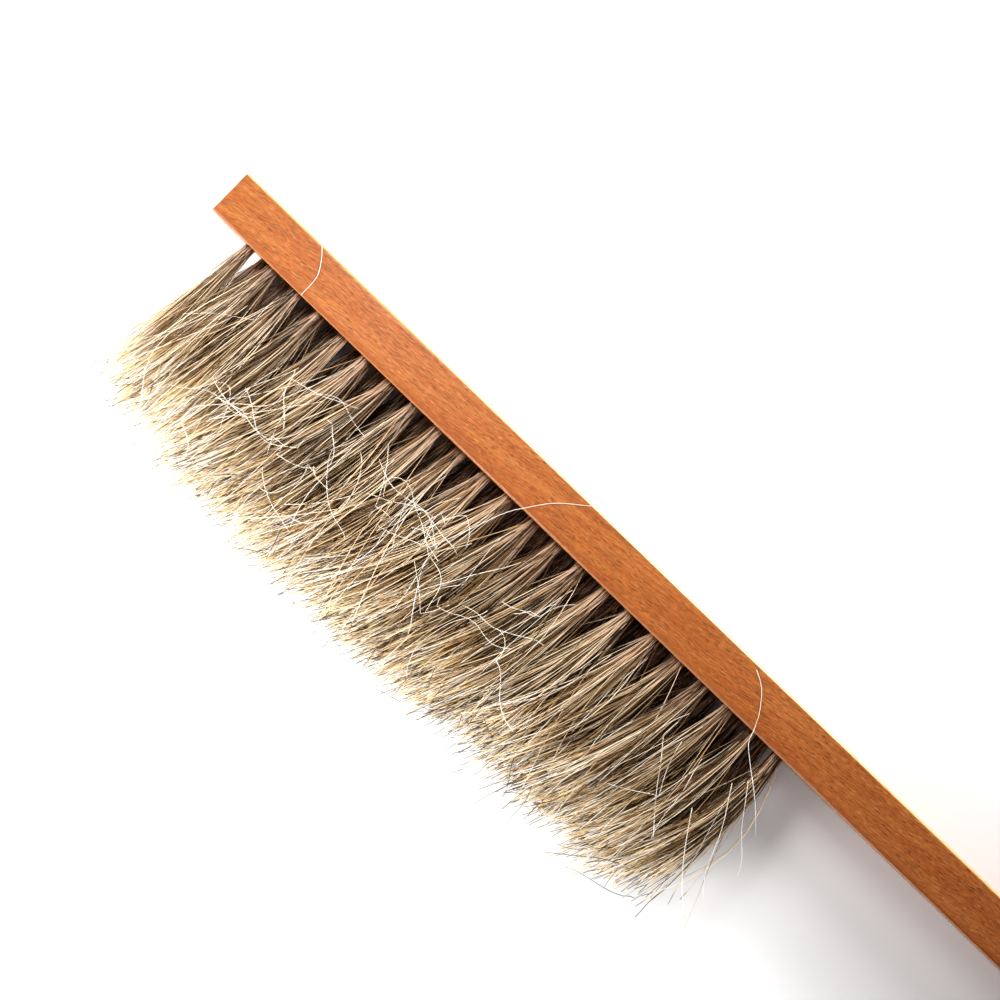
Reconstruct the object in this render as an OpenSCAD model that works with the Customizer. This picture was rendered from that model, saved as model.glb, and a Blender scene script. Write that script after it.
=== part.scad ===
// Flour and pastry brush: a one-piece beech stock and handle, with two staggered
// rows of horsehair tufts. Each tuft is a bundle folded over a flat steel anchor,
// which is driven to the bottom of a blind hole and bites into its wall.
//
// The brush lies on its side. +X runs along the stock towards the handle, the hair
// points to -Y and +Z is up. The origin is under the middle of the whole brush, on
// the surface that it lies on.

/* [Stock] */
// Height of the stock, from the face that holds the hair to its back
stock_h = 16.5; // [14:0.5:26]
// Thickness of the stock between its two flat sides
stock_t = 20; // [15:0.5:28]
// Length of bare stock before the middle of the first tuft
head_margin = 16; // [10:1:40]
// Length of the handle, from the middle of the last tuft to its end
handle_l = 166; // [60:1:300]
// Radius of the long edges, carried round the end of the handle
edge_r = 1.2; // [0.4:0.1:3]
// Chamfer round the sawn head end
head_chamfer = 0.4; // [0.1:0.1:1.5]

/* [Hanging hole] */
// Diameter of the hole near the end of the handle
hang_d = 6; // [3:0.5:8]
// Chamfer round both mouths of that hole
hang_chamfer = 0.6; // [0.2:0.1:1.5]

/* [Tufts] */
// Number of tufts in the front row, the one on the upper side (the back row has one fewer)
front_count = 23; // [6:1:28]
// Distance between neighbouring tufts of a row
tuft_pitch = 10.6; // [8:0.1:16]
// Distance between the two rows
row_gap = 8.8; // [7:0.1:10]
// Diameter of the blind hole that a tuft fills
hole_d = 4.6; // [3:0.1:5.6]
// Depth of the straight part of that hole
hole_depth = 10.5; // [6:0.5:12]
// Included angle of the drill point at its bottom
drill_angle = 118; // [90:1:140]
// Gap between a tuft and the wall of its hole
tuft_clearance = 0.05; // [0.02:0.01:0.2]
// How much the hair swells, on the radius, as it leaves the hole
mouth_swell = 0.25; // [0.1:0.05:0.6]

/* [Hair] */
// Length of the hair, measured square to the stock
hair_l = 68; // [30:1:110]
// Lean of the first tuft towards the head end, in degrees
lean_head = 5; // [0:1:20]
// Lean of the middle tufts
lean_mid = 15; // [0:1:20]
// Lean of the last tuft
lean_tail = 11; // [0:1:20]
// Gap between neighbouring tufts at their tips
tuft_gap = 0.3; // [0.1:0.1:1]
// Gap between the hair and the planes of the stock's two sides
side_gap = 0.05; // [0:0.05:1]

/* [Anchors] */
// Thickness of the steel strip
anchor_t = 0.35; // [0.2:0.05:0.6]
// Height of the strip along the hole
anchor_h = 2.4; // [1:0.1:3]
// How far each end of the strip bites into the wood
anchor_bite = 0.7; // [0.3:0.1:1]
// Turn of the strip from the line of the row, in degrees
anchor_turn = 35; // [0:5:60]
// Thickness of the folded hair between the strip and the bottom of the hole
fold_t = 1.2; // [0.5:0.1:2]

/* [Hidden] */
$fn = 64;

// Places along the stock
back_count = front_count - 1;
hair_zone = (front_count - 1) * tuft_pitch;
stock_l = head_margin + hair_zone + handle_l;
head_x = -stock_l / 2;
first_x = head_x + head_margin;
hang_x = stock_l / 2 - stock_h / 2;

// Places across it: the hair and the stock together are centred on Y = 0
face_y = (hair_l - stock_h) / 2;
mid_y = face_y + stock_h / 2;
mid_z = stock_t / 2;

// A row is named by its side of the middle plane
front_side = 1;
back_side = -1;

tuft_r = hole_d / 2 - tuft_clearance;
mouth_r = tuft_r + mouth_swell;
anchor_w = hole_d + 2 * anchor_bite;
cut_over = 1;  // how far a cutting shape runs past the face it cuts

// Hair leans by a smooth curve through its three values; u runs from 0 to 1 along the zone
function lean(u) =
    lean_head * (1 - u) * (1 - 2 * u) + lean_mid * 4 * u * (1 - u) + lean_tail * u * (2 * u - 1);

// Tuft places, with k counted in pitches: whole in the front row, halves in the back one
function root_x(k) = first_x + k * tuft_pitch;
function tip_x(k) = root_x(k) - hair_l * tan(lean(k / (front_count - 1)));
function row_z(side) = mid_z + side * row_gap / 2;

// The tips are as wide as their neighbours in both rows and the stock's sides allow
steepest = max(lean_head, lean_mid, lean_tail);
tip_step = min([for (k = [1:front_count - 1]) tip_x(k) - tip_x(k - 1)]) * cos(steepest);
half_room = stock_t / 2 - side_gap;
in_row_r = (tip_step - tuft_gap) / 2;
between_rows_r = (pow(tip_step / 2, 2) + 4 * pow(half_room, 2) - pow(tuft_gap, 2))
    / (8 * half_room + 4 * tuft_gap);
tip_r = min(in_row_r, between_rows_r);
function tip_z(side) = mid_z + side * (half_room - tip_r);

function two_digits(n) = n < 10 ? str("0", n) : str(n);
function front_name(i) = str("tuft_front_", two_digits(i + 1));
function back_name(i) = str("tuft_back_", two_digits(i + 1));

// Half or whole of the stock's section, with round corners on the side away from Y = 0
module half_section() {
    reach = stock_h / 2;
    square([reach - edge_r, stock_t]);
    translate([0, edge_r]) square([reach, stock_t - 2 * edge_r]);
    for (z = [edge_r, stock_t - edge_r]) translate([reach - edge_r, z]) circle(edge_r);
}

module whole_section() {
    half_section();
    mirror([1, 0]) half_section();
}

// The bar of the stock, from the sawn head end to the middle of its round handle end
module bar() {
    translate([head_x, mid_y, 0])
        rotate([90, 0, 90])
            linear_extrude(hang_x - head_x) whole_section();
}

module handle_end() {
    translate([hang_x, mid_y, 0])
        rotate([0, 0, -90])
            rotate_extrude(angle = 180) half_section();
}

// Cuts a chamfer along each edge of the sawn end
module head_end_cuts() {
    side = head_chamfer * sqrt(2);
    for (z = [0, stock_t])
        translate([head_x, mid_y, z])
            rotate([0, 45, 0]) cube([side, stock_h + 2 * cut_over, side], center = true);
    for (y = [face_y, face_y + stock_h])
        translate([head_x, y, mid_z])
            rotate([0, 0, 45]) cube([side, side, stock_t + 2 * cut_over], center = true);
}

module hanging_hole() {
    translate([hang_x, mid_y, -cut_over]) cylinder(d = hang_d, h = stock_t + 2 * cut_over);
    for (flip = [0, 1])
        translate([hang_x, mid_y, mid_z])
            rotate([180 * flip, 0, 0])
                translate([0, 0, stock_t / 2 - hang_chamfer])
                    cylinder(d1 = hang_d, d2 = hang_d + 4 * hang_chamfer, h = 2 * hang_chamfer);
}

// A drilled blind hole's shape, or what fills it, along +Y from the face of the stock
module drilled(r, before) {
    rotate([-90, 0, 0]) {
        translate([0, 0, -before]) cylinder(r = r, h = before + hole_depth);
        translate([0, 0, hole_depth])
            cylinder(r1 = r, r2 = 0, h = r / tan(drill_angle / 2));
    }
}

// One steel strip, standing in its hole on the fold of the hair
module anchor_strip() {
    translate([0, hole_depth - fold_t - anchor_h / 2, 0])
        rotate([0, anchor_turn, 0])
            cube([anchor_w, anchor_h, anchor_t], center = true);
}

module at_root(k, side) {
    translate([root_x(k), face_y, row_z(side)]) children();
}

// Runs its children at every tuft of a row
module along_row(side) {
    first = side == front_side ? 0 : 0.5;
    for (k = [first:1:first + (side == front_side ? front_count : back_count) - 1])
        at_root(k, side) children();
}

// The free hair of one tuft: a cone about its leaning axis, trimmed square to the stock
module free_hair(k, side) {
    axis = [tip_x(k) - root_x(k), -hair_l, tip_z(side) - row_z(side)];
    long = norm(axis);
    spare = 2 * tip_r * tan(steepest) + 1;  // what the trims take off at either end
    slope = (tip_r - mouth_r) / long;
    intersection() {
        at_root(k, side)
            rotate([0, acos(axis[2] / long), atan2(axis[1], axis[0])])
                translate([0, 0, -spare])
                    cylinder(
                        r1 = mouth_r - slope * spare,
                        r2 = tip_r + slope * spare,
                        h = long + 2 * spare
                    );
        translate([tip_x(k) - 2 * tip_r, face_y - hair_l, 0])
            cube([root_x(k) - tip_x(k) + 4 * tip_r, hair_l, stock_t]);
    }
}

module tuft(k, side) {
    free_hair(k, side);
    at_root(k, side) difference() {
        drilled(tuft_r, 0);
        anchor_strip();
    }
}

module stock() {
    color("#c9824e") difference() {
        union() {
            bar();
            handle_end();
        }
        head_end_cuts();
        hanging_hole();
        for (side = [front_side, back_side]) along_row(side) {
            drilled(hole_d / 2, cut_over);
            anchor_strip();
        }
    }
}

module front_tuft(i) {
    color("#b9a684") tuft(i, front_side);
}

module back_tuft(i) {
    color("#7d6b55") tuft(i + 0.5, back_side);
}

module front_row_anchors() {
    color("silver") along_row(front_side) anchor_strip();
}

module back_row_anchors() {
    color("silver") along_row(back_side) anchor_strip();
}

stock();
front_row_anchors();
back_row_anchors();
for (i = [0:front_count - 1]) {
    front_tuft(i);
}
for (i = [0:back_count - 1]) {
    back_tuft(i);
}
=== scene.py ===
import math

import bmesh
import bpy
import numpy as np
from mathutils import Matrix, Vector


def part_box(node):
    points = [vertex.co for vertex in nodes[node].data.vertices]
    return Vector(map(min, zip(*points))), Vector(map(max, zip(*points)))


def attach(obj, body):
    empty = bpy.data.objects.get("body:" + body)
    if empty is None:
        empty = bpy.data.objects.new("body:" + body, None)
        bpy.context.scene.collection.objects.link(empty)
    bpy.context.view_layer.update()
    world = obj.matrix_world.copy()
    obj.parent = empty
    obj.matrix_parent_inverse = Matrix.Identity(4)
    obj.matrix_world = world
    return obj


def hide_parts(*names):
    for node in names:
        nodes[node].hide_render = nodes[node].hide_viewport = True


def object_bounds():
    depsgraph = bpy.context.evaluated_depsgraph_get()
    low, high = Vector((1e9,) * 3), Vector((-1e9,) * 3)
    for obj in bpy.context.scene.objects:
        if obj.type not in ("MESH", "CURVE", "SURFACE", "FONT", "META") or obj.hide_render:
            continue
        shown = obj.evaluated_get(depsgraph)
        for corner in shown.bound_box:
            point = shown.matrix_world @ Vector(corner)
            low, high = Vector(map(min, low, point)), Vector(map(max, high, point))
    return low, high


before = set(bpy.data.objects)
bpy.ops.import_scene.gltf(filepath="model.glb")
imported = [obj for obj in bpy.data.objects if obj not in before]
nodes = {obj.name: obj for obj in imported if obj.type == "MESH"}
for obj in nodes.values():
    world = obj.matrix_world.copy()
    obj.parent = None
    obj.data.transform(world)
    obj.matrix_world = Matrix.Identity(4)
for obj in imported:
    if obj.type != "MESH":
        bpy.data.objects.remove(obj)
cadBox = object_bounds()
mm = 0.001  # every size below is in metres

stockLow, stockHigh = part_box("stock")
faceY = stockLow.y  # the side of the stock that the hair comes out of
topZ = stockHigh.z
frontTufts = sorted(n for n in nodes if n.startswith("tuft_front"))
backTufts = sorted(n for n in nodes if n.startswith("tuft_back"))


def linearColour(hexText, alpha=1.0):
    parts = [int(hexText[i:i + 2], 16) / 255 for i in (1, 3, 5)]
    return tuple(c / 12.92 if c <= 0.04045 else ((c + 0.055) / 1.055) ** 2.4 for c in parts) + (alpha,)


def addNode(tree, kind, inputs=None, stops=(), **settings):
    # inputs holds a value or a linked socket for each input; stops are a colour ramp's places and shades
    node = tree.nodes.new(kind)
    for name, value in settings.items():
        setattr(node, name, value)
    for name, value in (inputs or {}).items():
        if isinstance(value, bpy.types.NodeSocket):
            tree.links.new(value, node.inputs[name])
        else:
            node.inputs[name].default_value = value
    for index, (place, shade) in enumerate(stops):
        marks = node.color_ramp.elements
        mark = marks[index] if index < len(marks) else marks.new(place)
        mark.position = place
        mark.color = linearColour(shade) if isinstance(shade, str) else (shade, shade, shade, 1)
    return node


def newMaterial(name):
    material = bpy.data.materials.new(name)
    material.use_nodes = True
    tree = material.node_tree
    return material, tree, tree.nodes["Principled BSDF"]


# studio: camera, light and floor

studio = {
    "cameraPlace": (-0.0368, 0.016, 0.600),
    "cameraTilt": (3.21, 2.34),    # degrees about X and Y
    "cameraTurn": 44.07,           # so that the stock runs down from left to right
    "cameraLens": 66.5,            # mm
    # each lamp: place, size and power
    "lamps": {
        "back": ((0.005, 0.304, 0.168), 0.16, 0.60),    # beyond the back of the stock
        "rim": ((-0.02, 0.46, 0.075), 0.30, 3.2),       # lower and further, for the stock's back edge
        "front": ((-0.095, -0.170, 0.12), 0.10, 0.34),  # low, on the hair side
        "tail": ((0.045, -0.150, 0.12), 0.14, 0.14),    # beside it, clear of the last tufts
        "top": ((-0.180, 0.110, 0.20), 0.10, 0.29),     # over the head end
        "head": ((-0.285, -0.085, 0.105), 0.08, 0.46),  # beyond the head end and the first tips
    },
    "skyLight": 0.185,
    "skyTint": "#faf4f3",
    "wallLight": 1.1,              # the room as it is seen past the end of the floor
    "floorSize": 6.0,
    "floorColour": "#f8f8f8",
    "floorGlow": 0.72,             # the floor turns white away from the brush
    "glowReach": (0.18, 0.50),     # where that starts and ends
}


def makeCamera():
    data = bpy.data.cameras.new("camera")
    data.lens = studio["cameraLens"]
    data.sensor_width = 36
    data.clip_start, data.clip_end = 0.01, 20  # past the far end of the floor
    camera = bpy.data.objects.new("camera", data)
    camera.location = studio["cameraPlace"]
    tiltX, tiltY = studio["cameraTilt"]
    camera.rotation_euler = [math.radians(a) for a in (tiltX, tiltY, studio["cameraTurn"])]
    bpy.context.scene.collection.objects.link(camera)
    bpy.context.scene.camera = camera


def areaLight(name, size, power, place):
    data = bpy.data.lights.new(name, "AREA")
    data.shape, data.size, data.energy = "DISK", size, power
    light = bpy.data.objects.new(name, data)
    light.location = place
    aim = Vector((stockLow.x / 3, 0, 0)) - Vector(place)  # a third of the way to the head end
    light.rotation_euler = aim.to_track_quat("-Z", "Y").to_euler()
    light.visible_camera = False
    bpy.context.scene.collection.objects.link(light)


def makeLights():
    world = bpy.data.worlds.new("paleRoom")
    world.use_nodes = True
    tree = world.node_tree
    sky = tree.nodes["Background"]
    sky.inputs["Color"].default_value = linearColour(studio["skyTint"])
    seen = addNode(tree, "ShaderNodeLightPath").outputs["Is Camera Ray"]
    strength = addNode(tree, "ShaderNodeMapRange", {
        "Value": seen, "To Min": studio["skyLight"], "To Max": studio["wallLight"]}).outputs["Result"]
    tree.links.new(strength, sky.inputs["Strength"])
    bpy.context.scene.world = world
    for name, (place, size, power) in studio["lamps"].items():
        areaLight(name, size, power, place)


def makeFloor():
    bm = bmesh.new()
    bmesh.ops.create_grid(bm, x_segments=1, y_segments=1, size=studio["floorSize"] / 2)
    mesh = bpy.data.meshes.new("floor")
    bm.to_mesh(mesh)
    bm.free()
    floor = bpy.data.objects.new("floor", mesh)
    bpy.context.scene.collection.objects.link(floor)
    material, tree, shader = newMaterial("matteWhiteCard")  # a blank sheet, with no shine
    shader.inputs["Base Color"].default_value = linearColour(studio["floorColour"])
    shader.inputs["Roughness"].default_value = 0.9
    shader.inputs["Specular IOR Level"].default_value = 0.1
    place = addNode(tree, "ShaderNodeTexCoord").outputs["Object"]
    away = addNode(tree, "ShaderNodeVectorMath", {"Vector": place}, operation="LENGTH").outputs["Value"]
    near, far = studio["glowReach"]
    glow = addNode(tree, "ShaderNodeMapRange", {
        "Value": away, "From Min": near, "From Max": far, "To Max": studio["floorGlow"]},
        interpolation_type="SMOOTHSTEP").outputs["Result"]
    tree.links.new(glow, shader.inputs["Emission Strength"])
    shader.inputs["Emission Color"].default_value = linearColour("#ffffff")
    mesh.materials.append(material)


bpy.context.scene.view_settings.view_transform = "Standard"
bpy.context.scene.view_settings.look = "Medium High Contrast"
makeCamera()
makeLights()
makeFloor()
print("studio ready")


# the beech stock

beech = {
    "light": "#a56532",
    "mid": "#9c5a28",
    "dark": "#965222",
    "edge": "#8a4618",       # the smooth, deep strip along the hair side
    "fleck": "#5c2e10",
    "speck": "#c98a58",
    "grainTurn": 7,          # degrees from the length of the stock
    # mm along and across the grain, and how much detail
    "grain": {
        "cloud": (40.0, 3.0, 3.0),
        "fibre": (10.0, 0.24, 3.0),
        "fleck": (2.2, 0.19, 1.0),
        "speck": (2.7, 0.20, 1.0),
    },
    "streaks": (0.78, 1.19),     # the darkest and the lightest fibre
    "fleckShare": 0.8,           # how strongly the dark flecks and the light specks show
    "speckShare": 0.6,
    "strip": (0.3, 3.0, 0.7),    # from and to, in mm from the hair side, and how strong
    "rimHighlight": "#dfae6e",           # painted highlight: a pale strip along the two upper edges stands for the lamps' glint on their rounding
    "rimHighlightBack": (0.85, 0.9),     # mm wide and how strong, along the back edge
    "rimHighlightHairSide": (0.45, 0.45),
    "rimHighlightDepth": (1.4, 0.6),     # mm below the top where the painted highlight starts and is full
    "rimHighlightLeast": 0.55,           # share of the painted highlight that reaches between the fibres
    "roughness": (0.48, 0.40),   # between the fibres and on them
    "varnish": (0.4, 0.16),      # the coat's weight and roughness
    "relief": 0.04,              # mm that the grain stands out
}


def varnishedBeech():
    # steamed beech under a thin satin varnish: warm orange brown, full of short dark ray flecks
    material, tree, shader = newMaterial("varnishedBeech")
    place = addNode(tree, "ShaderNodeTexCoord").outputs["Object"]
    turned = addNode(tree, "ShaderNodeMapping", {
        "Vector": place, "Rotation": (0, 0, -math.radians(beech["grainTurn"]))}).outputs["Vector"]
    noise = {}
    for name, (along, across, detail) in beech["grain"].items():
        scale = (1 / (along * mm), 1 / (across * mm), 1 / (across * mm))
        cells = addNode(tree, "ShaderNodeMapping", {"Vector": turned, "Scale": scale}).outputs["Vector"]
        noise[name] = addNode(tree, "ShaderNodeTexNoise", {
            "Vector": cells, "Scale": 1.0, "Detail": detail}).outputs["Fac"]
    colour = addNode(tree, "ShaderNodeValToRGB", {"Fac": noise["cloud"]}, [
        (0.32, beech["dark"]), (0.5, beech["mid"]), (0.68, beech["light"])]).outputs["Color"]
    streak = addNode(tree, "ShaderNodeValToRGB", {"Fac": noise["fibre"]}, [
        (0.35, beech["streaks"][0]), (0.65, beech["streaks"][1])]).outputs["Color"]
    colour = addNode(tree, "ShaderNodeMix", {0: 1.0, 6: colour, 7: streak},
                     data_type="RGBA", blend_type="MULTIPLY").outputs[2]
    darkMask = addNode(tree, "ShaderNodeValToRGB", {"Fac": noise["fleck"]}, [
        (0.56, 0.0), (0.66, beech["fleckShare"])]).outputs["Color"]
    lightMask = addNode(tree, "ShaderNodeValToRGB", {"Fac": noise["speck"]}, [
        (0.57, 0.0), (0.68, beech["speckShare"])]).outputs["Color"]
    colour = addNode(tree, "ShaderNodeMix", {0: lightMask, 6: colour, 7: linearColour(beech["speck"])},
                     data_type="RGBA").outputs[2]
    colour = addNode(tree, "ShaderNodeMix", {0: darkMask, 6: colour, 7: linearColour(beech["fleck"])},
                     data_type="RGBA").outputs[2]
    split = addNode(tree, "ShaderNodeSeparateXYZ", {"Vector": place})
    across = split.outputs["Y"]
    start, end, share = beech["strip"]
    strip = addNode(tree, "ShaderNodeMapRange", {
        "Value": across, "From Min": faceY + start * mm, "From Max": faceY + end * mm,
        "To Min": share, "To Max": 0.0}).outputs["Result"]
    colour = addNode(tree, "ShaderNodeMix", {0: strip, 6: colour, 7: linearColour(beech["edge"])},
                     data_type="RGBA").outputs[2]
    # painted highlight: both upper edges are mixed towards a pale colour where the lamps glint on the
    # rounding
    rimHighlightEdges = []
    for edgeY, side, (width, share) in ((stockHigh.y, -1, beech["rimHighlightBack"]),
                                        (faceY, 1, beech["rimHighlightHairSide"])):
        rimHighlightEdges.append(addNode(tree, "ShaderNodeMapRange", {
            "Value": across, "From Min": edgeY + side * width * mm,
            "From Max": edgeY + side * 0.5 * width * mm, "To Max": share}).outputs["Result"])
    edges = addNode(tree, "ShaderNodeMath", dict(enumerate(rimHighlightEdges)), operation="ADD").outputs["Value"]
    start, full = beech["rimHighlightDepth"]
    upper = addNode(tree, "ShaderNodeMapRange", {
        "Value": split.outputs["Z"], "From Min": topZ - start * mm,
        "From Max": topZ - full * mm}).outputs["Result"]
    patchy = addNode(tree, "ShaderNodeMapRange", {
        "Value": noise["fibre"], "From Min": 0.3, "From Max": 0.55,
        "To Min": beech["rimHighlightLeast"]}).outputs["Result"]
    upper = addNode(tree, "ShaderNodeMath", {0: upper, 1: patchy}, operation="MULTIPLY").outputs["Value"]
    paintedHighlight = addNode(tree, "ShaderNodeMath", {0: edges, 1: upper}, operation="MULTIPLY").outputs["Value"]
    colour = addNode(tree, "ShaderNodeMix", {0: paintedHighlight, 6: colour, 7: linearColour(beech["rimHighlight"])},
                     data_type="RGBA").outputs[2]
    tree.links.new(colour, shader.inputs["Base Color"])
    gloss = addNode(tree, "ShaderNodeValToRGB", {"Fac": noise["fibre"]}, [
        (0.3, beech["roughness"][0]), (0.7, beech["roughness"][1])]).outputs["Color"]
    tree.links.new(gloss, shader.inputs["Roughness"])
    height = addNode(tree, "ShaderNodeMix", {0: 0.5, 6: streak, 7: darkMask},
                     data_type="RGBA", blend_type="SUBTRACT").outputs[2]
    bump = addNode(tree, "ShaderNodeBump", {
        "Height": height, "Strength": 0.3, "Distance": beech["relief"] * mm})
    tree.links.new(bump.outputs["Normal"], shader.inputs["Normal"])
    shader.inputs["IOR"].default_value = 1.5
    shader.inputs["Specular IOR Level"].default_value = 0.35
    for socket, value in zip(("Coat Weight", "Coat Roughness"), beech["varnish"]):
        shader.inputs[socket].default_value = value
    return material


nodes["stock"].data.materials.clear()
nodes["stock"].data.materials.append(varnishedBeech())
print("stock ready")


# the steel anchors

anchorSteel = {
    "lines": (2.0, 0.08),             # mm, the rolling lines' length and spacing
    "shades": ("#8d8f92", "#b7b9bb"),
    "roughness": (0.42, 0.28),
}


def coldRolledSteel():
    # cut from cold-rolled strip: grey, half bright, with fine rolling lines
    material, tree, shader = newMaterial("coldRolledSteel")
    long, apart = anchorSteel["lines"]
    place = addNode(tree, "ShaderNodeTexCoord").outputs["Object"]
    cells = addNode(tree, "ShaderNodeMapping", {
        "Vector": place,
        "Scale": (1 / (long * mm), 1 / (apart * mm), 1 / (apart * mm))}).outputs["Vector"]
    lines = addNode(tree, "ShaderNodeTexNoise", {
        "Vector": cells, "Scale": 1.0, "Detail": 2.0}).outputs["Fac"]
    for socket, (dull, bright) in (("Base Color", anchorSteel["shades"]),
                                   ("Roughness", anchorSteel["roughness"])):
        ramp = addNode(tree, "ShaderNodeValToRGB", {"Fac": lines}, [(0.3, dull), (0.7, bright)])
        tree.links.new(ramp.outputs["Color"], shader.inputs[socket])
    shader.inputs["Metallic"].default_value = 1.0
    return material


steel = coldRolledSteel()
for name in ("front_row_anchors", "back_row_anchors"):
    nodes[name].data.materials.clear()
    nodes[name].data.materials.append(steel)
print("anchors ready")


# the hair

hair = {
    "strands": 330,  # in one tuft
    "ringPlaces": (0.0, 0.08, 0.18, 0.30, 0.43, 0.57, 0.70, 0.82, 0.91, 0.96, 1.0),  # along a strand
    "rootRadius": (0.11, 0.175),   # mm, thin and thick strands
    "tipShare": 0.72,              # the tip's thickness, as a share of the root's
    "coarse": (0.85, 1.1),         # strands above this tone are this much thicker

    # lengths, as shares of the CAD tuft's
    "length": (0.89, 0.072),       # mean and spread
    "lockLength": 0.04,            # spread from lock to lock
    "lengthLimits": (0.7, 1.1),
    "longShare": 0.03,             # share of the strands that reach past the others, and how far
    "longExtra": 0.11,
    "trim": (0.985, 0.012),        # mean and spread from tuft to tuft
    "trimWave": (0.04, 0.13),      # how much it rises and falls along the brush, and where it starts
    "headTrim": (0.03, 0.07),      # cut from the first tufts, fading over this share of the brush
    "pastBox": 11.5,               # mm that any hair may reach past the CAD tufts

    # lean and fan
    "insideHole": 2.5,             # mm that a strand starts inside its hole
    "rootSpread": 2.1,             # mm, half the width of a tuft in its hole
    "tipSpread": (8.6, 6.0),       # mm, half the width at the tips, along and across the stock
    "fanPower": 1.65,              # over 1, a tuft fans out late
    "startLean": (5, 12, 0.86),    # degrees at the hole, how much less at the handle, and from where on
    "headLean": (0.3, 2),          # share of that lean at the head end, and how fast it grows
    "tailLean": (3, 0.8),          # mm more at the last tufts' tips, and from where on
    "leanSpread": 1.5,             # mm at the tips, from tuft to tuft
    "headEdge": (1.8, 6.5),        # mm that the first tuft may reach past its root, at root and tips
    "headRagged": (-3, 5),         # mm more, from strand to strand
    "floorGap": (0.35, 1.2),       # mm, least and how much more
    "rise": (5.0, 2.5),            # mm that the hair may stand above the stock, and how much more
    "ease": {"end": 1.5, "head": 2.5, "height": 2.0},  # mm in which a strand turns aside at a limit

    # locks and strays
    "locks": 12,                   # a tuft parts into this many locks
    "lockMix": 0.2,                # how far a strand may look for its lock
    "lockPull": 0.70,              # how far the tips gather, and from which share of the length on
    "lockStart": 0.12,
    "lockPower": 1.2,              # over 1, they gather late
    "slope": (0.055, 0.05),        # spread from strand to strand and from lock to lock
    "slopeStart": 0.4,             # share of its slope that a strand has at its root
    "bow": 1.2,                    # mm, spread from strand to strand
    "wave": (0.1, 0.5),            # mm, how far a strand waves to and fro
    "waveLength": (16, 45),        # mm
    "stray": (0.10, 3.0),          # share of the strands that go their own way, and how much more

    # tones from 0, black, to 1, white: mean and spread of each natural colour, and its share in a row
    "toneGroups": {"white": (0.95, 0.03), "blond": (0.76, 0.07), "khaki": (0.55, 0.07),
                   "brown": (0.30, 0.07), "black": (0.08, 0.04)},
    "frontMix": (0.24, 0.17, 0.19, 0.23, 0.17),
    "backMix": (0.12, 0.18, 0.27, 0.31, 0.12),
    "lockTone": 0.09,              # spread from lock to lock
    "tuftTone": 0.02,              # spread from tuft to tuft
    "whiteHairsAndTopHighlight": (0.5, 0.36, 0.97),  # white hairs, partly a painted highlight on the lit top of a tuft: from how high in a tuft, the share that is white, and their tone
    "tipGlow": 0.05,               # painted light: how much paler the hair is made at its tips, for light shining through them
    "headLight": (0.30, 0.3),       # painted light: how much paler the head end's hair is made, where the light is brightest, and the share of it at the roots
    "headLightFade": ((1.0, 0.14), (0.8, 0.03)),  # amounts, and the share of the brush that each fades over
    "darkTips": 0.18,              # share of the strands with a black tip, twice as many at the handle
    "darkDrop": (0.9, 0.93),       # how much darker, and from where on a strand

    # what each tone looks like along a strand, and at its tip
    "bodyShades": ((0.0, "#0f0b09"), (0.12, "#241912"), (0.34, "#51402b"), (0.55, "#7b6144"),
                   (0.74, "#ab8f66"), (0.88, "#dac39a"), (1.0, "#fbf2e0")),
    # painted light: the tips' shades are paler, for light shining through the thin tips from the bright
    # floor
    "tipShades": ((0.0, "#0f0b09"), (0.16, "#735636"), (0.32, "#e8c388"), (0.6, "#ffe4b0"),
                  (0.88, "#fff2d8"), (1.0, "#fffefb")),
    "tipStart": (0.71, 0.89),      # where the tip's shades start, and where they are full
    # painted shade from root to tip: the roots are darkened and warmed, as if shaded and lit by light
    # bounced off the wood
    "paintedRootShade": ((0.0, "#d0b3a9"), (0.10, "#f8e2d6"), (0.4, "#fbf0e2"), (0.78, "#fbeedd"),
                 (0.9, "#ffffff")),
    "mottle": (0.8, 1.1),          # the darkest and the lightest spots along a strand
    "mottleCells": (70, 5, 1),     # over the range of tones, and along a strand
}


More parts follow.
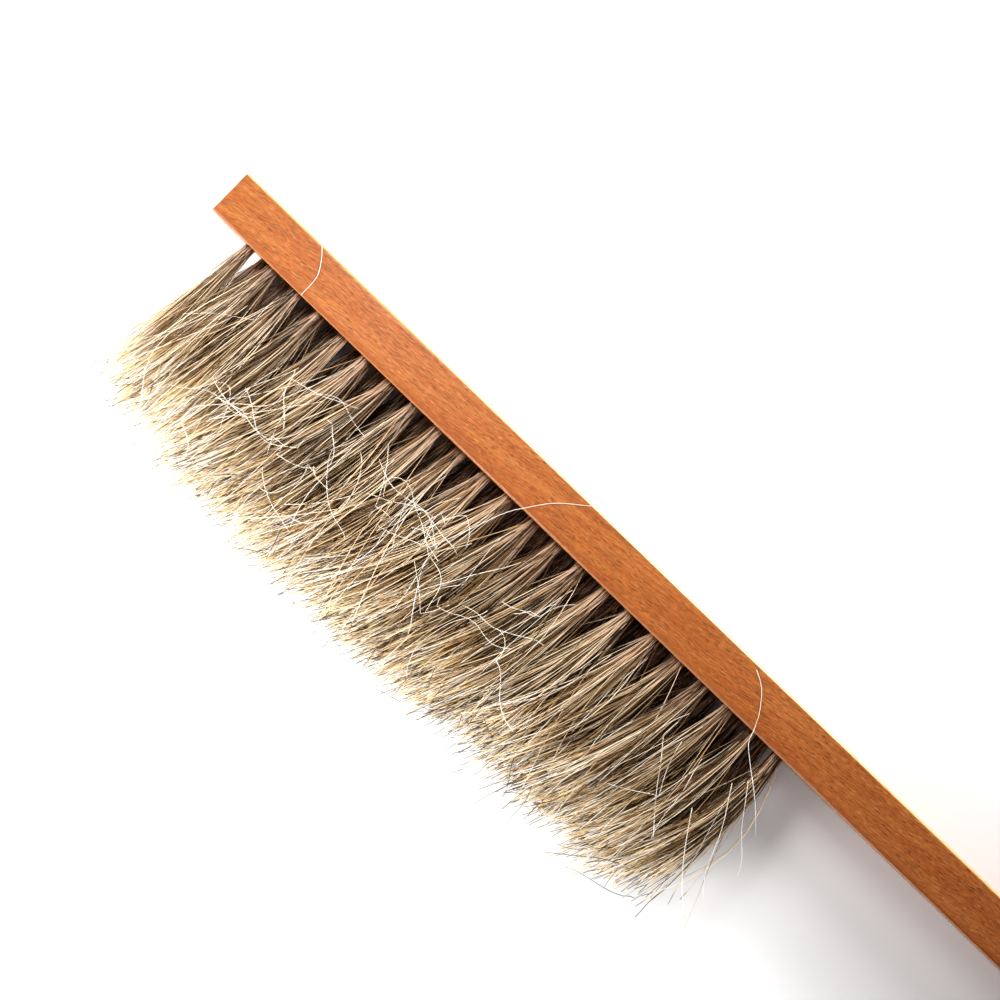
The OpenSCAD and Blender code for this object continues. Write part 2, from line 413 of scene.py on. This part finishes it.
def horsehair():
    # natural unbleached horsehair: each hair has a tone of its own, made paler towards its tip by painted
    # light shining through it and darker at its root by painted shade, softly shiny
    material, tree, shader = newMaterial("naturalHorsehair")
    spot = addNode(tree, "ShaderNodeUVMap", uv_map="OFBake").outputs["UV"]
    split = addNode(tree, "ShaderNodeSeparateXYZ", {"Vector": spot})
    tone, along = split.outputs["X"], split.outputs["Y"]
    body = addNode(tree, "ShaderNodeValToRGB", {"Fac": tone}, hair["bodyShades"]).outputs["Color"]
    tip = addNode(tree, "ShaderNodeValToRGB", {"Fac": tone}, hair["tipShades"]).outputs["Color"]
    # painted light: the paler tip shades take over towards the end of each strand
    nearTip = addNode(tree, "ShaderNodeValToRGB", {"Fac": along}, list(zip(hair["tipStart"], (0.0, 1.0))))
    colour = addNode(tree, "ShaderNodeMix", {0: nearTip.outputs["Color"], 6: body, 7: tip},
                     data_type="RGBA").outputs[2]
    # painted shade: each strand is darkened and warmed towards its root
    paintedRootShade = addNode(tree, "ShaderNodeValToRGB", {"Fac": along}, hair["paintedRootShade"]).outputs["Color"]
    colour = addNode(tree, "ShaderNodeMix", {0: 1.0, 6: colour, 7: paintedRootShade},
                     data_type="RGBA", blend_type="MULTIPLY").outputs[2]
    cells = addNode(tree, "ShaderNodeMapping", {
        "Vector": spot, "Scale": hair["mottleCells"]}).outputs["Vector"]
    mottle = addNode(tree, "ShaderNodeTexNoise", {
        "Vector": cells, "Scale": 1.0, "Detail": 2.0}).outputs["Fac"]
    mottle = addNode(tree, "ShaderNodeValToRGB", {"Fac": mottle}, list(zip((0.3, 0.7), hair["mottle"])))
    colour = addNode(tree, "ShaderNodeMix", {0: 1.0, 6: colour, 7: mottle.outputs["Color"]},
                     data_type="RGBA", blend_type="MULTIPLY").outputs[2]
    tree.links.new(colour, shader.inputs["Base Color"])
    shader.inputs["Roughness"].default_value = 0.33
    shader.inputs["IOR"].default_value = 1.55
    return material


def straightStrands(name, count, rings):
    # count three-sided strands in one place, one unit thick, with a ring at every unit of height
    bm = bmesh.new()
    first = bmesh.ops.create_circle(bm, segments=3, radius=1)["verts"]
    edges = list(bm.edges)
    for ring in range(rings - 1):
        made = bmesh.ops.extrude_edge_only(bm, edges=edges)["geom"]
        verts = [g for g in made if isinstance(g, bmesh.types.BMVert)]
        bmesh.ops.translate(bm, verts=verts, vec=(0, 0, 1))
        edges = [g for g in made if isinstance(g, bmesh.types.BMEdge)
                 and all(v in verts for v in g.verts)]
    bmesh.ops.holes_fill(bm, edges=[e for e in bm.edges if e.is_boundary], sides=3)
    bmesh.ops.recalc_face_normals(bm, faces=bm.faces)
    mesh = bpy.data.meshes.new(name)
    bm.to_mesh(mesh)
    bm.free()
    strand = bpy.data.objects.new(name, mesh)
    bpy.context.scene.collection.objects.link(strand)
    copies = strand.modifiers.new("copies", "ARRAY")
    copies.count = count
    copies.use_relative_offset = False
    bpy.context.view_layer.update()
    finished = strand.evaluated_get(bpy.context.evaluated_depsgraph_get())
    strand.data = bpy.data.meshes.new_from_object(finished)
    strand.modifiers.clear()
    strand.data.uv_layers.new(name="OFBake")
    strand.data.shade_smooth()
    mesh = strand.data
    bpy.data.objects.remove(strand)
    return mesh


def unit(vectors):
    # the same directions, one unit long
    return vectors / np.maximum(np.linalg.norm(vectors, axis=-1, keepdims=True), 1e-12)


def bendStrands(straight, name, paths, radii, tones, ringPlaces):
    # lays each straight strand along its own path; paths are strand by ring by xyz
    mesh = straight.copy()
    mesh.name = name
    count, rings, _ = paths.shape
    local = np.empty(len(mesh.vertices) * 3, np.float32)
    mesh.vertices.foreach_get("co", local)
    local = local.reshape(count, -1, 3)
    ring = local[:, :, 2].round().astype(int)
    strand = np.arange(count)[:, None]
    along = unit(np.gradient(paths, axis=1))
    side = unit(np.cross(along, (0.0, 0.0, 1.0)))
    other = np.cross(side, along)
    thick = radii[strand, ring][:, :, None]
    places = paths[strand, ring] + thick * (
        local[:, :, :1] * side[strand, ring] + local[:, :, 1:2] * other[strand, ring])
    mesh.vertices.foreach_set("co", places.astype(np.float32).ravel())
    u = tones[strand, ring] + 0.004 * local[:, :, 0]
    v = np.broadcast_to(ringPlaces, (count, rings))[strand, ring]
    spots = np.stack([u, v], -1).clip(0.004, 0.996).reshape(-1, 2)
    corner = np.empty(len(mesh.loops), np.int32)
    mesh.loops.foreach_get("vertex_index", corner)
    mesh.uv_layers["OFBake"].data.foreach_set("uv", spots[corner].astype(np.float32).ravel())
    mesh.update()
    piece = bpy.data.objects.new(name, mesh)
    bpy.context.scene.collection.objects.link(piece)
    return piece


def tuftEnds(node):
    # the middle of a CAD tuft in its hole and at its tips
    spots = np.array([v.co for v in nodes[node].data.vertices])
    ends = []
    for inside in (spots[:, 1] > faceY + 4 * mm, spots[:, 1] < spots[:, 1].min() + 0.5 * mm):
        ends.append((spots[inside].min(0) + spots[inside].max(0)) / 2)
    return ends


def drawTones(rng, count, mix):
    # mix holds the share of each tone group
    group = rng.choice(len(mix), count, p=mix)
    middle, spread = np.array(list(hair["toneGroups"].values())).T
    return middle[group] + spread[group] * rng.normal(0, 1, count)


def disc(rng, count):
    # places spread evenly over a disc
    turn, reach = rng.uniform(0, 2 * np.pi, count), np.sqrt(rng.uniform(0, 1, count))
    return np.stack([reach * np.cos(turn), reach * np.sin(turn)], 1)


def softLimit(height, low, high, ease):
    # bends heights smoothly so that they stay between low and high
    height = np.where(height < low + ease, low + ease * np.exp((height - low - ease) / ease), height)
    return np.where(height > high - ease, high - ease * np.exp((high - ease - height) / ease), height)


def tuftLengths(rng, share, lock):
    # each strand's length, as a share of the CAD tuft's
    count = len(lock)
    mean, spread = hair["trim"]
    swing, wavePlace = hair["trimWave"]
    less, fade = hair["headTrim"]
    trim = mean + swing * math.sin(2 * math.pi * (share - wavePlace)) + rng.normal(0, spread)
    trim -= less * math.exp(-share / fade)
    mean, spread = hair["length"]
    length = rng.normal(mean, spread, count) + rng.normal(0, hair["lockLength"], hair["locks"])[lock]
    long = rng.uniform(0, 1, count) < hair["longShare"]
    return trim * (length.clip(*hair["lengthLimits"]) + hair["longExtra"] * long)


def tuftMiddle(rng, root, tip, share, fullDepth, f):
    # the middle of a tuft leaves its hole at one slope and bends to the other
    degrees, less, place = hair["startLean"]
    startLean = math.tan(math.radians(degrees - less * max(0.0, (share - place) / (1 - place))))
    more, place = hair["tailLean"]
    lean = root[0] - tip[0] + more * mm * max(0.0, (share - place) / (1 - place))
    least, growth = hair["headLean"]
    first = startLean * fullDepth * min(1.0, least + growth * share)
    last = lean - first + rng.normal(0, hair["leanSpread"] * mm)
    return root[0] - first * f - last * f ** 2, root[2] + (tip[2] - root[2]) * f


def tuftTones(rng, seat, lock, share, mix, f, t):
    # each strand's tone at its rings, and which strands are thicker
    count = len(lock)
    tone = drawTones(rng, count, mix) + rng.normal(0, hair["lockTone"], hair["locks"])[lock]
    tone = tone + rng.normal(0, hair["tuftTone"])
    # partly painted highlight: more strands are made white in the upper part of each tuft, where the top
    # catches the light
    high, whiteShare, white = hair["whiteHairsAndTopHighlight"]
    topHighlightWhite = (seat[:, 1] > high) & (rng.uniform(0, 1, count) < whiteShare)
    tone = np.where(topHighlightWhite, white, tone)
    drop, start = hair["darkDrop"]
    darkTip = np.where(rng.uniform(0, 1, count) < hair["darkTips"] * (1 + share), drop, 0.0)
    # painted light: tones are raised towards each strand's tip and at the head end of the brush
    headward = sum(amount * math.exp(-share / fade) for amount, fade in hair["headLightFade"])
    most, atRoot = hair["headLight"]
    pale = hair["tipGlow"] * f + most * headward * (atRoot + f)
    leastTone, thicker = hair["coarse"]
    coarse = np.where(tone > leastTone, thicker, 1.0)
    return tone[:, None] + pale - darkTip[:, None] * (t > start)[None], coarse


def combTuft(rng, root, tip, share, mix):
    # paths, radii and tones of one tuft's strands; share is 0 at the head end and 1 at the handle
    count, t = hair["strands"], np.array(hair["ringPlaces"])
    fullDepth = faceY - tip[1]
    seat, lockSeat = disc(rng, count), disc(rng, hair["locks"])
    look = rng.normal(0, hair["lockMix"], (count, 1, 2))
    lock = np.linalg.norm(seat[:, None] + look - lockSeat[None], axis=2).argmin(1)
    length = tuftLengths(rng, share, lock)
    inside = hair["insideHole"] * mm
    depth = (length * fullDepth)[:, None] * t + inside * (t - 1)[None]
    depth = softLimit(depth, -1.0, faceY - lowestY, hair["ease"]["end"] * mm)
    f = depth.clip(0, None) / fullDepth
    middleX, middleZ = tuftMiddle(rng, root, tip, share, fullDepth, f)
    start = hair["lockStart"]
    pull = hair["lockPull"] * ((f - start) / (1 - start)).clip(0, 1) ** hair["lockPower"]
    strayShare, strayMore = hair["stray"]
    stray = np.where(rng.uniform(0, 1, count) < strayShare, strayMore, 1.0)
    rootSpread = hair["rootSpread"] * mm
    places = []
    for axis in (0, 1):
        spread = rootSpread + (hair["tipSpread"][axis] * mm - rootSpread) * f ** hair["fanPower"]
        at = seat[:, axis, None] * (1 - pull) + lockSeat[lock, axis][:, None] * pull
        ownSlope, lockSlope = hair["slope"]
        slope = rng.normal(0, ownSlope, count) * stray + rng.normal(0, lockSlope, hair["locks"])[lock]
        bow = rng.normal(0, hair["bow"] * mm, count) * stray
        waveHeight = rng.uniform(*hair["wave"], count)[:, None] * mm
        waveLength = rng.uniform(*hair["waveLength"], count)[:, None] * mm
        waveStart = rng.uniform(0, 6.3, count)[:, None]
        wave = waveHeight * f * np.sin(depth * 2 * np.pi / waveLength + waveStart)
        partSlope = hair["slopeStart"] + (1 - hair["slopeStart"]) * f
        drift = slope[:, None] * depth.clip(0, None) * partSlope
        places.append(spread * at + drift + bow[:, None] * np.sin(np.pi * f.clip(0, 1)) + wave)
    nearEdge, farEdge = hair["headEdge"]
    ragged = rng.uniform(*hair["headRagged"], count)[:, None]
    edge = rootLow - (nearEdge + farEdge * f + ragged * f) * mm
    x = softLimit(middleX + places[0], edge, 1.0, hair["ease"]["head"] * mm)
    least, more = hair["floorGap"]
    low = (least + rng.uniform(0, more, count)[:, None]) * mm
    least, more = hair["rise"]
    high = topZ + (least + rng.uniform(0, more, count)[:, None]) * mm
    z = softLimit(middleZ + places[1], low, high, hair["ease"]["height"] * mm)
    paths = np.stack([x, faceY - depth, z], -1)
    radii = rng.uniform(*hair["rootRadius"], count)[:, None] * mm
    radii = radii * (1 - (1 - hair["tipShare"]) * t ** 2)[None]
    tones, coarse = tuftTones(rng, seat, lock, share, mix, f, t)
    return paths, radii * coarse[:, None], tones


lowestY = cadBox[0][1] - hair["pastBox"] * mm
hairMaterial = horsehair()
straight = straightStrands("straight", hair["strands"], len(hair["ringPlaces"]))
straight.materials.append(hairMaterial)
crown = []  # every place that the hair passes, to lay the stray hairs on
rootLow = tuftEnds(frontTufts[0])[0][0]
rootHigh = tuftEnds(frontTufts[-1])[0][0]
for row, (names, mix) in enumerate(((frontTufts, hair["frontMix"]), (backTufts, hair["backMix"]))):
    for index, node in enumerate(names):
        rng = np.random.default_rng(1000 * row + index)
        root, tip = tuftEnds(node)
        share = (root[0] - rootLow) / (rootHigh - rootLow)
        paths, radii, tones = combTuft(rng, root, tip, share, mix)
        pieceName = node.replace("tuft", "hair")
        piece = bendStrands(straight, pieceName, paths, radii, tones, hair["ringPlaces"])
        crown.append(paths.reshape(-1, 3))
        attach(piece, "root")
        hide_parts(node)
print("hair ready")


# stray hairs that lie on the brush

strays = {
    "rings": 20,
    "radius": (0.11, 0.15),  # mm
    "endShare": 0.75,        # the end's thickness, as a share of the start's
    "cell": 2.5,             # mm, of the height map of the hair
    "gap": 0.35,             # mm above what is under it
    "overStock": 0.15,       # mm above the stock, where it lies on it
    "highest": 8.0,          # mm above the stock
    "droop": 0.25,           # the steepest fall
    "hairTop": 12.0,         # mm from the floor; anything lower isn't the top of the tufts
    "kink": (0.6, 1.7),      # radians
    "whiteLift": 5.0,        # mm that the long white hairs stand above the tufts, and the dark ones
    "darkLift": 0.8,
    "alongPlaces": (0.8, 0.95),  # the part of a strand that their shades come from, inside the tips' painted light
}
# scattered hairs: how many; the part of the rows that they start in; mm from the stock, as least,
# likeliest and most; radians from the way the hair runs, as mean and spread, or None for any way; mm
# long; radians a mm; numbers of kinks to choose from; tone; mm above the hair; and whether they stay
# on top of the tufts
scattered = {
    "curls": dict(count=38, along=(0.02, 0.62), deep=(10, 28, 50), turn=None, length=(14, 40),
                  bend=0.075, kinks=(0, 0, 1, 1, 2), tone=(0.97, 1.05), lift=(0.4, 1.3), onHair=True),
    "crossing": dict(count=36, along=(0.0, 1.0), deep=(2, 8, 30), turn=(0.16, 0.2), length=(28, 46),
                     bend=0.02, kinks=(0, 0, 0, 1), tone=(0.97, 1.06), lift=(0.0, 0.6), onHair=True),
    "darkEnds": dict(count=60, along=(-0.06, 0.95), deep=(50, 56, 62), turn=(0.3, 0.4), length=(6, 15),
                     bend=0.05, kinks=(0,), tone=(0.0, 0.14), lift=(-3.0, 0.6), onHair=False),
}
# long hairs across the stock and past the last tufts: mm from the stock's head end and hair side
fallenHairs = (
    ((33.8, 16.3), (37.4, 12.0), (39.8, 7.3), (40.1, 0.0)),
    ((153.0, 15.5), (145.4, 9.5), (140.4, 3.5), (134.9, -5.4), (130.9, -16.0), (125.8, -29.0)),
    ((225.5, 14.6), (231.0, 11.2), (236.5, 3.6), (238.6, -3.0), (244.3, -8.1), (252.9, -14.8),
     (261.4, -22.8)),
    ((244.0, -16.0), (252.0, -30.0), (257.0, -41.0), (264.0, -50.0)),
    ((247.0, -12.0), (256.0, -24.0), (263.0, -31.0), (266.0, -36.0)),
    ((240.0, -30.0), (248.0, -42.0), (255.0, -50.0), (262.0, -56.0)),
)
# dark ones that stick out between the tips
darkHairs = (
    ((33.0, -58.0), (30.5, -66.0), (28.5, -73.0), (28.8, -79.0)),
    ((90.0, -66.0), (84.0, -69.9), (79.6, -73.8), (76.8, -78.2)),
    ((153.0, -70.0), (145.9, -72.0), (142.5, -72.3), (138.4, -75.0)),
    ((236.0, -58.0), (230.7, -60.9), (223.3, -66.9), (217.3, -71.9)),
    ((248.0, -63.5), (241.0, -67.1), (232.4, -69.4), (226.0, -71.4)),
)


def heightMap(points):
    # the highest hair in each cell, smoothed a little, and the top of the stock
    cell = strays["cell"] * mm
    border = 4  # empty cells around the hair
    low = points.min(0) - border * cell
    size = np.ceil((points.max(0) - low) / cell).astype(int) + border
    heights = np.zeros(size[:2])
    spot = ((points - low) / cell).astype(int)
    np.maximum.at(heights, (spot[:, 0], spot[:, 1]), points[:, 2])
    around = [np.roll(heights, (i, j), (0, 1)) for i in (-1, 0, 1) for j in (-1, 0, 1)]
    heights = (heights + np.mean(around, 0)) / 2

    def height(x, y):
        i = ((x - low[0]) / cell).astype(int).clip(0, size[0] - 1)
        j = ((y - low[1]) / cell).astype(int).clip(0, size[1] - 1)
        overStock = (y > faceY - mm) & (x > stockLow.x) & (y < stockHigh.y)
        return np.where(overStock, np.maximum(topZ - 0.1 * mm, heights[i, j]), heights[i, j])
    return height


def wander(rng, start, heading, length, bend, kinks):
    # a flat path that keeps turning by up to bend (rad/mm), with a few sharp kinks
    rings = strays["rings"]
    step = length / (rings - 1)
    turns = np.convolve(rng.normal(0, 1, rings + 4), np.ones(5) / 5 ** 0.5, "valid") * bend * step
    for place in rng.integers(3, rings - 3, kinks):
        turns[place] += rng.choice((-1, 1)) * rng.uniform(*strays["kink"])
    angle = heading + np.cumsum(turns)
    moves = np.stack([np.cos(angle), np.sin(angle)], 1) * step * mm
    return np.array(start) + np.cumsum(moves, 0) - moves[0]


def smoothLine(points, rings):
    # a smooth curve through a few points, by Catmull and Rom's rule
    points = np.array(points, float)
    points = np.vstack([2 * points[0] - points[1], points, 2 * points[-1] - points[-2]])
    out = []
    for place in np.linspace(0, len(points) - 3 - 1e-6, rings):
        i, u = int(place), place % 1
        a, b, c, d = points[i:i + 4]
        second, third = 2 * a - 5 * b + 4 * c - d, 3 * (b - c) + d - a
        out.append(b + 0.5 * u * (c - a + u * (second + u * third)))
    return np.array(out)


def scatterStray(rng, height, kind):
    # the flat path of one loose hair; one that leaves the top of the tufts is drawn again
    tipSide = -math.pi / 2  # the way that the hair runs
    while True:
        startX = rootLow + rng.uniform(*kind["along"]) * (rootHigh - rootLow)
        startY = faceY - rng.triangular(*kind["deep"]) * mm
        anyWay = kind["turn"] is None
        turn = rng.uniform(-math.pi, math.pi) if anyWay else -rng.normal(*kind["turn"])
        length, kinks = rng.uniform(*kind["length"]), rng.choice(kind["kinks"])
        flat = wander(rng, (startX, startY), tipSide + turn, length, kind["bend"], kinks)
        lowest = height(flat[:, 0], flat[:, 1]).min()
        onHair = flat[:, 1].max() <= faceY - mm and lowest >= strays["hairTop"] * mm
        if onHair or not kind["onHair"]:
            return flat


def layStrays():
    rng = np.random.default_rng(77)
    height = heightMap(np.concatenate(crown))
    flats, tones, lifts = [], [], []
    for kind in scattered.values():
        for _ in range(kind["count"]):
            flats.append(scatterStray(rng, height, kind))
            tones.append(rng.uniform(*kind["tone"]))
            lifts.append(rng.uniform(*kind["lift"]))
    rings = strays["rings"]
    for group, tone, lift in ((fallenHairs, 1.0, strays["whiteLift"]),
                              (darkHairs, 0.0, strays["darkLift"])):
        for points in group:
            flats.append(smoothLine(points, rings) * mm + (stockLow.x, faceY))
            tones.append(tone)
            lifts.append(lift)
    flats, tones, lifts = np.array(flats), np.array(tones), np.array(lifts) * mm
    flats[:, :, 1] = np.maximum(flats[:, :, 1], lowestY)
    z = height(flats[:, :, 0], flats[:, :, 1])
    padded = np.pad(z, ((0, 0), (2, 2)), "edge")
    z = np.mean([padded[:, i:i + rings] for i in range(5)], 0)
    z = np.maximum(z + lifts[:, None] + strays["gap"] * mm, strays["gap"] * mm)
    steps = np.linalg.norm(np.diff(flats, axis=1), axis=2)
    for ring in range(1, rings):  # a hair is too stiff to drop steeply
        z[:, ring] = np.maximum(z[:, ring], z[:, ring - 1] - strays["droop"] * steps[:, ring - 1])
    onStock = flats[:, :, 1] > faceY
    z = np.where(onStock, topZ + strays["overStock"] * mm, z).clip(None, topZ + strays["highest"] * mm)
    paths = np.concatenate([flats, z[:, :, None]], 2)
    radii = rng.uniform(*strays["radius"], len(flats))[:, None] * mm
    radii = radii * np.linspace(1, strays["endShare"], rings)[None]
    straightStray = straightStrands("straightStray", len(flats), rings)
    straightStray.materials.append(hairMaterial)
    alongPlaces = np.linspace(*strays["alongPlaces"], rings)
    tones = np.repeat(tones[:, None], rings, 1)
    piece = bendStrands(straightStray, "stray_hairs", paths, radii, tones, alongPlaces)
    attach(piece, "root")


layStrays()
print("stray hairs ready")
